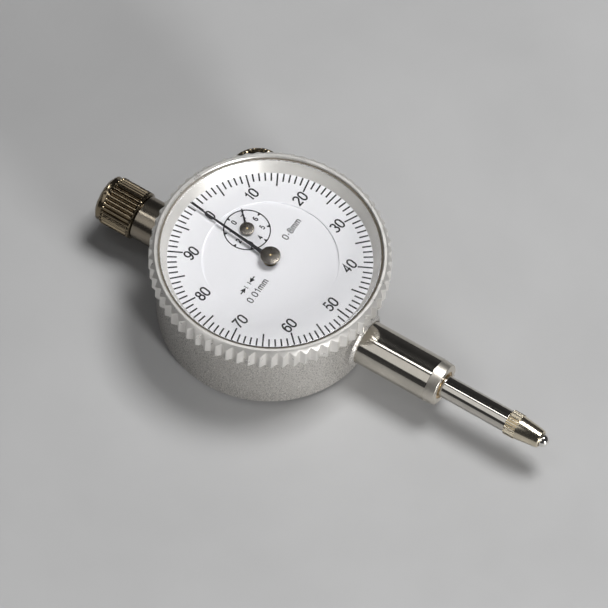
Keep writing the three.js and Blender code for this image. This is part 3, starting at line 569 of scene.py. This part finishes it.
def add_scale_dial():
    bottom, top, outer = low("scale_dial").z, high("scale_dial").z, high("scale_dial").x
    scale = mesh_object("scale_plate", turned([
        (DIALS_JOINT, bottom), (outer, bottom), (outer, top, 0.03), (DIALS_JOINT, top, 0.05),
    ]))
    settle(scale, DIAL, "bezel", ["scale_dial"])
    settle(mesh_object("scale_print", scale_print(top)), INK, "bezel")


def add_inner_dial():
    bottom = low("inner_dial").z
    top = high("inner_dial").z + INNER_DIAL_LIFT
    radius = DIALS_JOINT - JOINT_GAP
    face = mesh_object("inner_dial_face", turned([
        (POINTER_HOLE, bottom), (radius, bottom), (radius, top, 0.03), (POINTER_HOLE, top, 0.03),
    ]))
    hole = turned([(0, top - 2), (COUNTER_HOLE, top - 2), (COUNTER_HOLE, top + 1), (0, top + 1)], 32)
    carve(face, moved(hole, Matrix.Translation((COUNTER_CENTRE.x, COUNTER_CENTRE.y, 0))))
    settle(face, DIAL, "case", ["inner_dial"])
    print_shapes = [
        counter_print(top),
        legend("0-8mm", RANGE_PLACE, top, gap=0.28),
        legend("0.01mm", DIVISION_PLACE, top, gap=0.3),
        division_arrows(top),
    ]
    settle(mesh_object("inner_dial_print", joined(print_shapes)), INK, "case")


# ---- Case ----

CASE_WALL = 17.4          # the inside radius of the case
CASE_SHOULDER = 14.4      # where the case steps in to the bezel's neck
NECK_RADIUS = 18.4
COVER_RECESS = 17.75
DECK = (13.9, 15)         # the floor that carries the dial, from its bottom to its top


def case_outline():
    bottom, top, radius = low("case_shell").z, high("case_shell").z, high("case_shell").x
    return [
        (COVER_RECESS, bottom + 0.6), (COVER_RECESS, bottom), (radius, bottom, 0.35),
        (radius, CASE_SHOULDER, 0.3), (NECK_RADIUS, CASE_SHOULDER, 0.1), (NECK_RADIUS, top, 0.1),
        (17, top), (17, DECK[1]), (2, DECK[1]), (2, DECK[0]), (CASE_WALL, DECK[0]),
        (CASE_WALL, bottom + 0.6),
    ]


def add_case():
    """The shell, its boss round the stem, and the holes for the stem, the tube and the clamp."""
    shell = mesh_object("case_body", turned(case_outline()))
    boss_end = low("case_shell").y
    root = -CASE_WALL - 0.5
    boss = turned([
        (0, boss_end), (4.35, boss_end, 0.2), (4.9, boss_end + 0.45, 0.2), (4.95, root), (0, root),
    ], SMALL_ROUND)
    carve(shell, moved(boss, ALONG_STEM), "UNION")
    for start, end in ((boss_end - 1, -CASE_WALL + 1), (CASE_WALL - 1, high("case_shell").x + 1)):
        hole = turned([(0, start), (4.06, start), (4.06, end), (0, end)], SMALL_ROUND)
        carve(shell, moved(hole, ALONG_STEM))
    clamp_hole = turned([(0, 16), (1.35, 16), (1.35, 21), (0, 21)], 48)
    carve(shell, moved(clamp_hole, clamp_place()))
    settle(shell, PAINT, "case", ["case_shell"])


def add_back_cover():
    """The cover that the indicator lies on, with a well for each of its four screws."""
    cover = high("back_cover")
    plate = mesh_object("back_plate", turned([
        (0, 0), (cover.x, 0, 0.2), (cover.x, cover.z), (0, cover.z),
    ]))
    for k in range(4):
        centre = middle(f"cover_screw_{k + 1}")
        well = turned([(0, -1), (1.45, -1), (1.45, 0.6), (0, 0.6)], 48)
        carve(plate, moved(well, Matrix.Translation((centre.x, centre.y, 0))))
        add_screw(f"cover_screw_{k + 1}", f"back_screw_{k + 1}", centre)
    settle(plate, COVER_PAINT, "case", ["back_cover"])


def add_screw(node, name, centre):
    """A cheese-head screw seen from below, with a slot across its head."""
    head, end = low(node).z, high(node).z
    screw = mesh_object(name, turned([
        (0, head), (1.3, head, 0.12), (1.3, head + 0.5), (0.65, head + 0.5), (0.65, end), (0, end),
    ], 48))
    carve(screw, box((-2, 2), (-0.16, 0.16), (head - 1, head + 0.3)))
    screw.data.transform(Matrix.Translation(Vector((centre.x, centre.y, 0)) * MM))
    settle(screw, PLAIN_STEEL, "case", [node])


# ---- Stem, upper tube and bushes ----

def along_stem(name, outline, segments=SMALL_ROUND, radius_at=None):
    """A piece turned about the stem's axis, from (radius, y) points."""
    return mesh_object(name, moved(turned(outline, segments, radius_at), ALONG_STEM))


STEM_RADIUS = 4
STEM_BORE = 2.6
STEM_TAPER = 1.9          # how long the stem's matt end is
BUSH_BORE = 2.05
BUSH_RADIUS = 2.58
BUSHES = {"stem_end_bush": "outer_bush", "stem_inner_bush": "inner_bush", "upper_bush": "top_bush"}


def add_stem():
    start, end = low("stem").y, high("stem").y
    neck = start + STEM_TAPER
    body = along_stem("stem_tube", [
        (STEM_BORE, neck), (STEM_RADIUS - 0.03, neck), (STEM_RADIUS, neck + 0.05), (STEM_RADIUS, end),
        (STEM_BORE, end),
    ])
    settle(body, STEM_NICKEL, "case", ["stem"])
    tip = along_stem("stem_tip", [
        (STEM_BORE, start), (3.78, start, 0.12), (STEM_RADIUS - 0.03, neck - 0.01), (STEM_BORE, neck - 0.01),
    ])
    settle(tip, MATT_NICKEL, "case")


def add_bushes():
    for node, name in BUSHES.items():
        start, end = low(node).y, high(node).y
        bush = along_stem(name, [
            (BUSH_BORE, start, 0.1), (BUSH_RADIUS, start, 0.05), (BUSH_RADIUS, end), (BUSH_BORE, end, 0.1),
        ])
        settle(bush, BRONZE, "case", [node])


def add_upper_tube():
    """The tube that the dust cap covers, with a step where the cap's mouth ends."""
    start, end = low("upper_tube").y, high("upper_tube").y
    shoulder = low("dust_cap").y - 0.05
    counterbore = high("upper_bush").y + 0.2
    tube = along_stem("upper_tube_barrel", [
        (STEM_BORE, start), (STEM_RADIUS, start), (STEM_RADIUS, shoulder, 0.15), (3.6, shoulder),
        (3.6, end, 0.15), (2.98, end), (2.98, counterbore), (STEM_BORE, counterbore),
    ])
    settle(tube, TUBE_NICKEL, "case", ["upper_tube"])


# ---- Plunger ----

def knurl(ribs, crest, depth, start, end, run_out=0.35):
    """Straight ridges round a grip between two heights. They fade out at both ends."""

    def radius_at(radius, height, angle):
        if radius < crest - 0.02 or not start <= height <= end:
            return radius
        ends = min(height - start, end - height)
        fade = math.sin(min(1.0, ends / run_out) * math.pi / 2)
        wave = abs((angle * ribs / (2 * math.pi) + 0.5) % 1 - 0.5) * 2
        return radius - depth * fade * min(1.0, max(0.0, wave * 1.75 - 0.6))

    return radius_at


def levels(radius, start, end, count):
    """Points up a cylinder's side, so that a knurl has rows to shape."""
    return [(radius, start + (end - start) * k / count) for k in range(count + 1)]


RACK_PITCH = 0.5
RACK_TIP = -1.886         # x of the rack's tips, and of its roots
RACK_ROOT = -1.528
RACK_TEETH = (-21, 3)     # the first and the last gap, counted from the pinion along Y
RACK_HEIGHTS = (4, 10)


def rack_cuts():
    """What is cut from the rod to make the rack: a flat, then the gap after each tooth."""
    first, last = RACK_TEETH
    pinion = Vector(joint("rack_pinion_turn")["pos_m"]) / MM
    flat = (pinion.y + (first - 0.4) * RACK_PITCH, pinion.y + (last + 0.4) * RACK_PITCH)
    cuts = [box((-3, RACK_TIP), flat, RACK_HEIGHTS)]
    for k in range(first, last + 1):
        centre = pinion.y + k * RACK_PITCH
        gap = [(RACK_TIP - 0.1, centre - 0.21), (RACK_ROOT, centre - 0.085),
               (RACK_ROOT, centre + 0.085), (RACK_TIP - 0.1, centre + 0.21)]
        cuts.append(prism(gap, *RACK_HEIGHTS))
    return cuts


def add_rod():
    start, end = low("plunger_rod").y, high("plunger_rod").y
    rod = along_stem("plunger_shaft", [
        (0, start + 3.6), (1.25, start + 3.6), (1.25, start), (2, start, 0.08), (2, end, 0.3), (0, end),
    ])
    for cut in rack_cuts():
        carve(rod, cut)
    settle(rod, ROD_STEEL, "plunger", ["plunger_rod"])


CONTACT_TEETH = 24
CONTACT_RING_RADIUS = 2.275
CONTACT_RING_LENGTH = 2


def add_contact():
    """The contact point: a lip round its ball, a cone, a knurled ring and a plain shank."""
    start, end = low("contact_point").y, low("plunger_rod").y - 0.05
    ring = end - CONTACT_RING_LENGTH
    crest = CONTACT_RING_RADIUS
    teeth = knurl(CONTACT_TEETH, crest, 0.22, ring - 0.01, end + 0.01, run_out=0.04)
    holder = along_stem("contact_holder", [
        (0, start + 1.1), (1.2, start + 1.1), (1.2, start), (1.36, start - 0.06, 0.05),
        (1.5, start + 0.1, 0.05), (1.63, start + 0.12, 0.05), (2.14, ring - 0.12), (2.14, ring),
        (crest, ring), *levels(crest, ring + 0.02, end - 0.02, 12), (crest, end),
        (1.2, end), (1.2, end + 3.4), (0, end + 3.4),
    ], CONTACT_TEETH * 8, teeth)
    settle(holder, CONTACT_NICKEL, "plunger", ["contact_point"])


def add_ball(steps=48):
    centre = middle("contact_ball").y
    radius = (high("contact_ball").y - low("contact_ball").y) / 2
    outline = [(0, centre - radius)]
    for k in range(1, steps):
        angle = math.pi * k / steps
        outline.append((radius * math.sin(angle), centre - radius * math.cos(angle)))
    outline.append((0, centre + radius))
    settle(along_stem("contact_tip_ball", outline), BALL_STEEL, "plunger", ["contact_ball"])


# ---- Dust cap and clamp knob ----

CAP_RIDGES = 32
CAP_BORE = 3.72
CAP_PLAIN_END = 1.5       # how long the smooth end of the cap is


def add_cap():
    start, end = low("dust_cap").y, high("dust_cap").y
    crest = high("dust_cap").x
    knurl_end = end - CAP_PLAIN_END
    cap = along_stem("dust_cap_shell", [
        (CAP_BORE, start, 0.1), (crest - 0.35, start, 0.1), (crest - 0.12, start + 0.1),
        (crest, start + 0.3), *levels(crest, start + 0.34, knurl_end - 0.04, 24), (crest, knurl_end),
        (crest - 0.3, knurl_end + 0.05), (crest - 0.34, knurl_end + 0.3), (crest - 0.2, end - 0.6, 0.2),
        (crest - 0.9, end, 0.45), (crest - 1.3, end - 0.06, 0.1), (0, end - 0.06), (0, end - 1.3),
        (CAP_BORE, end - 1.3),
    ], CAP_RIDGES * 10, knurl(CAP_RIDGES, crest, 0.42, start + 0.3, knurl_end))
    settle(cap, CAP_NICKEL, "dust_cap", ["dust_cap"])


KNOB_RIDGES = 30
KNOB_RADIUS = 3.75
KNOB_LENGTHS = (20.2, 24.5)   # where the knob's grip starts and ends, from the dial's axis


def add_clamp_knob():
    crest = KNOB_RADIUS
    start, end = KNOB_LENGTHS
    outline = [
        (0, 16.1), (1.2, 16.1), (1.2, 19.2), (2.2, 19.2, 0.1), (2.2, start), (crest - 0.3, start, 0.05),
        (crest, start + 0.3), *levels(crest, start + 0.34, end - 0.34, 14), (crest, end - 0.3),
        (crest - 0.35, end, 0.15), (1.6, end), (1.3, end - 0.35), (0, end - 0.35),
    ]
    ridges = knurl(KNOB_RIDGES, crest, 0.24, start + 0.3, end - 0.3)
    shape = turned(outline, KNOB_RIDGES * 8, ridges)
    knob = mesh_object("clamp_thumbscrew", moved(shape, clamp_place()))
    settle(knob, CAP_NICKEL, "clamp_knob", ["clamp_knob"])


# ---- Bezel, reflector ring and crystal ----

BEZEL_RIBS = 66
COLUMNS_PER_RIB = 16
RIDGE = 20.85
VALLEY = 20.1
RIB_TOP = 17.7            # how high the rim's cone leaves the ridges
RIB_ROUNDING = 0.2
RIM_OUTER = 19.9
RIM_INNER = 19.35
BEZEL_BORE = 19.25
BEZEL_SEAT = 15.4
SKIRT_BORE = 18.6


def rib_wave(share):
    """0 on a ridge and 1 in a valley, with both rounded."""
    wave = abs((share + 0.5) % 1 - 0.5) * 2
    soft = RIB_ROUNDING
    wave = wave if wave > soft else (wave * wave / soft + soft) / 2
    other = 1 - wave
    return wave if other > soft else 1 - (other * other / soft + soft) / 2


def bezel_column(radius, bottom, top):
    """The bezel's outline at one angle, where its rib reaches that radius."""
    slope = (top - RIB_TOP) / (RIDGE - RIM_OUTER)
    crest = top - slope * (radius - RIM_OUTER)
    foot, soft = 0.16, 0.05
    return [
        (radius - foot * 0.8, bottom), (radius - 0.25 * foot, bottom + 0.3 * foot), (radius, bottom + foot),
        (radius, crest - soft), (radius - 0.5 * soft, crest + 0.4 * soft),
        ((radius + RIM_OUTER) / 2, (crest + top) / 2), (RIM_OUTER + 0.02, top - 0.04),
        (RIM_OUTER - 0.05, top), (RIM_INNER + 0.08, top), (RIM_INNER, top - 0.05),
        (BEZEL_BORE, top - 0.2), (BEZEL_BORE, BEZEL_SEAT), (SKIRT_BORE, BEZEL_SEAT),
        (SKIRT_BORE, bottom + 0.1), (SKIRT_BORE + 0.1, bottom),
    ]


def add_bezel():
    """A ring with V-shaped ribs. The rim's cone cuts their tops, lowest at each ridge."""
    bottom, top = low("bezel_ring").z, high("bezel_ring").z
    segments = BEZEL_RIBS * COLUMNS_PER_RIB
    verts, faces = [], []
    for k in range(segments):
        radius = RIDGE - (RIDGE - VALLEY) * rib_wave(k / COLUMNS_PER_RIB)
        angle = 2 * math.pi * k / segments + math.pi / 2 + SCALE_TURN
        column = bezel_column(radius, bottom, top)
        verts += [(r * math.cos(angle), r * math.sin(angle), z) for r, z in column]
    count = len(verts) // segments
    for k in range(segments):
        here = k * count
        following = ((k + 1) % segments) * count
        for row in range(count):
            n = (row + 1) % count
            faces.append((here + row, following + row, following + n, here + n))
    ring = mesh_object("bezel", (verts, faces))
    settle(ring, SATIN, "bezel", ["bezel_ring"], angle=16)


def add_reflector():
    """The bright ring that slopes from the dial up to the crystal."""
    bottom, top = low("reflector_ring").z, high("reflector_ring").z
    reflector = mesh_object("reflector", turned([
        (17.6, bottom, 0.02), (19.2, bottom), (19.2, top), (18.92, top), (18.85, top - 0.15, 0.05),
    ]))
    settle(reflector, REFLECTOR, "bezel", ["reflector_ring"])


def add_crystal():
    """The flat crystal, and a dark ring in the gap between it and the bezel's bore, painted to stand for the shade
    in that gap.
    """
    bottom, top = low("crystal").z, high("crystal").z
    bore = high("crystal").x + 0.04
    edge = high("crystal").x - 0.3
    inner = edge + 0.01
    # a dark ring that paints in the shade of the gap between the crystal and the bezel's bore
    gap_shade = mesh_object("crystal_gap_shade", turned([
        (inner, bottom + 0.01), (bore, bottom + 0.01), (bore, top - 0.1, 0.03), (inner, top - 0.22, 0.03),
    ]))
    settle(gap_shade, GAP_SHADE, "bezel")
    crystal = mesh_object("crystal_disc", turned([
        (0, bottom), (edge, bottom, 0.05), (edge, top, 0.16), (0, top),
    ]))
    settle(crystal, CRYSTAL, "bezel", ["crystal"])


# ---- Hands ----

POINTER_TURN = math.radians(-6)
SMALL_HAND_TURN = math.radians(-45)
POINTER_BLADE = [(0.55, 1.6), (0.4, 2.2), (0.32, 3), (0.27, 6), (0.2, 11), (0.09, 17.5)]
SMALL_BLADE = [(0.24, 1.1), (0.17, 1.8), (0.1, 4.3)]
HUB_HEIGHT = 0.5


def hand_outline(boss, degrees, blade):
    """A hand's outline: a round boss, from its root round to an angle, then the blade's half-widths."""
    half = [(boss * math.sin(math.radians(a)), -boss * math.cos(math.radians(a))) for a in degrees]
    half += blade
    return half + [(-x, y) for x, y in reversed(half)]


def add_hand(node, name, body, outline, turn, centre, edge):
    place = Matrix.Translation((centre.x, centre.y, 0)) @ Matrix.Rotation(turn, 4, "Z")
    shape = moved(prism(outline, low(node).z, high(node).z), place)
    hand = mesh_object(name, shape)
    bevel(hand, edge)
    settle(hand, HAND_ENAMEL, body, [node])


def add_collar():
    """The dark sleeve between the pointer and its hub."""
    bottom, top = high("pointer").z, high("pointer_hub").z - HUB_HEIGHT
    collar = mesh_object("long_hand_collar", turned([
        (0.56, bottom), (1.16, bottom), (1.16, top), (0.56, top),
    ], SMALL_ROUND))
    settle(collar, HAND_ENAMEL, "pointer")


def add_hands():
    """The pointer and the counter's hand with their hubs, at the frame's rest angles."""
    origin = Vector((0, 0, 0))
    long_outline = hand_outline(1.3, range(0, 141, 10), POINTER_BLADE)
    add_hand("pointer", "long_hand", "pointer", long_outline, POINTER_TURN, origin, 0.03)
    short_outline = hand_outline(0.8, range(0, 151, 15), SMALL_BLADE)
    add_hand("small_hand", "short_hand", "counter", short_outline, SMALL_HAND_TURN, COUNTER_CENTRE, 0.02)
    add_collar()
    shoulder = high("pointer_hub").z - HUB_HEIGHT
    add_hub("pointer_hub", "long_hand_hub", "pointer", origin, 1.75, 0.85, shoulder)
    add_hub("small_hand_hub", "short_hand_hub", "counter", COUNTER_CENTRE, 1.28, 0.7, 15.75)


def bevel(made, width):
    """Rounds a hand's sharp edges by that many millimetres."""
    work = bmesh.new()
    work.from_mesh(made.data)
    edges = [e for e in work.edges if e.calc_face_angle(0) > math.radians(60)]
    bmesh.ops.bevel(work, geom=edges, offset=width * MM, segments=2, profile=0.5, affect="EDGES")
    work.to_mesh(made.data)
    work.free()


def add_hub(node, name, body, centre, radius, collar, shoulder):
    """A hand's hub: a narrow collar, a wide flat top above the shoulder and a brass pip in it."""
    bottom, top = low(node).z, high(node).z
    place = Matrix.Translation((centre.x, centre.y, 0))
    shape = turned([
        (0.55, bottom), (collar, bottom), (collar, shoulder), (radius - 0.1, shoulder, 0.05),
        (radius, shoulder + 0.12), (radius, top, 0.14), (0.3, top), (0.24, top - 0.06), (0, top - 0.06),
        (0, top - 0.4), (0.55, top - 0.4),
    ], SMALL_ROUND)
    settle(mesh_object(name, moved(shape, place)), HUB_NICKEL, body, [node])
    pip_shape = turned([(0, top - 0.3), (0.16, top - 0.3), (0.16, top - 0.03, 0.05), (0, top - 0.02)], 32)
    settle(mesh_object(f"{name}_pip", moved(pip_shape, place)), BRASS, body)


# ---- Parts inside the case, carried over from the frame ----

INSIDE = {
    "snap_ring": PLAIN_STEEL, "guide_pin": PLAIN_STEEL, "return_spring": PLAIN_STEEL,
    "hairspring": PLAIN_STEEL, "rack_pinion": ROD_STEEL, "centre_pinion": ROD_STEEL,
    "takeup_arbor": ROD_STEEL, "clamp_claw": PLAIN_STEEL, "spring_post": PLAIN_STEEL,
}


def finish_frame_nodes():
    """Gives each part that the frame still shows its metal."""
    slots = {row["node"]: row["material_slot"] for row in frame["record"]["subparts"]}
    by_slot = {"steel": PLAIN_STEEL, "brass": BRASS, "bronze": BRONZE}
    for name, node in frame["nodes"].items():
        if node.hide_render:
            continue
        node.data.materials.clear()
        node.data.materials.append(INSIDE.get(name) or by_slot[slots[name]])


# ---- Floor, light and camera ----

def add_floor():
    """A plain pale floor, a hair below the back cover."""
    floor = mesh_object("floor", box((-2000, 2000), (-2000, 2000), (-4, -0.02)))
    recipe = Recipe("pale_floor")
    recipe.colour(recipe.noise(30, detail=4.0), (0.47, 0.47, 0.47), (0.50, 0.50, 0.50))
    recipe.roughness(recipe.noise(8), 0.5, 0.6)
    floor.data.materials.append(recipe.material)


def add_light(name, toward, distance, size, power):
    """A soft rectangular lamp at that distance in that direction, facing the object."""
    lamp = bpy.data.lights.new(name, "AREA")
    lamp.shape = "RECTANGLE"
    lamp.size, lamp.size_y = size[0] * MM, size[1] * MM
    lamp.energy = power
    made = bpy.data.objects.new(name, lamp)
    direction = Vector(toward).normalized()
    made.location = direction * distance * MM
    made.rotation_euler = direction.to_track_quat("Z", "Y").to_euler()
    bpy.context.scene.collection.objects.link(made)


def add_world():
    """A dim room, a little lighter at the horizon than above."""
    world = bpy.data.worlds.new("studio")
    world.use_nodes = True
    bpy.context.scene.world = world
    tree = world.node_tree
    place = tree.nodes.new("ShaderNodeTexCoord")
    split = tree.nodes.new("ShaderNodeSeparateXYZ")
    ramp = tree.nodes.new("ShaderNodeValToRGB")
    ramp.color_ramp.elements[0].position = 0.0
    ramp.color_ramp.elements[0].color = (0.06, 0.06, 0.062, 1)
    ramp.color_ramp.elements[1].position = 0.9
    ramp.color_ramp.elements[1].color = (0.02, 0.02, 0.021, 1)
    tree.links.new(place.outputs["Generated"], split.inputs[0])
    tree.links.new(split.outputs["Z"], ramp.inputs["Fac"])
    tree.links.new(ramp.outputs["Color"], tree.nodes["Background"].inputs["Color"])
    tree.nodes["Background"].inputs["Strength"].default_value = 1.0


def add_lights():
    add_world()
    add_light("key", (0.336, -0.13, 0.93), 800, (300, 300), 4.1)
    add_light("overhead", (-0.62, 0.24, 0.75), 900, (300, 620), 0.45)
    add_light("streak", (-0.17, 0.255, 0.95), 900, (60, 330), 0.35)
    add_light("front", (-0.36, -0.90, 0.25), 700, (150, 150), 4.0)


AIM = Vector((-4.2, -9.5, 15.8))       # the point at the picture's centre
AZIMUTH = math.radians(-61.1)
ELEVATION = math.radians(58.1)
ROLL = math.radians(4.07)
DISTANCE = 1360
LENS = 473.7
FILM_WIDTH = 36


def add_camera():
    data = bpy.data.cameras.new("camera")
    data.sensor_width = FILM_WIDTH
    data.lens = LENS
    data.clip_start = 0.05
    data.clip_end = 20
    camera = bpy.data.objects.new("camera", data)
    level = math.cos(ELEVATION)
    back = Vector((math.sin(AZIMUTH) * level, -math.cos(AZIMUTH) * level, math.sin(ELEVATION)))
    camera.location = (AIM + back * DISTANCE) * MM
    camera.rotation_mode = "QUATERNION"
    camera.rotation_quaternion = (-back).to_track_quat("-Z", "Y") @ Quaternion(UP, ROLL)
    bpy.context.scene.collection.objects.link(camera)
    bpy.context.scene.camera = camera


bpy.context.scene.view_settings.view_transform = "Standard"
add_camera()
add_case()
add_back_cover()
add_stem()
add_bushes()
add_upper_tube()
add_rod()
add_contact()
add_ball()
add_cap()
add_clamp_knob()
add_bezel()
add_reflector()
add_crystal()
add_scale_dial()
add_inner_dial()
add_hands()
finish_frame_nodes()
add_floor()
add_lights()

bpy.context.view_layer.update()
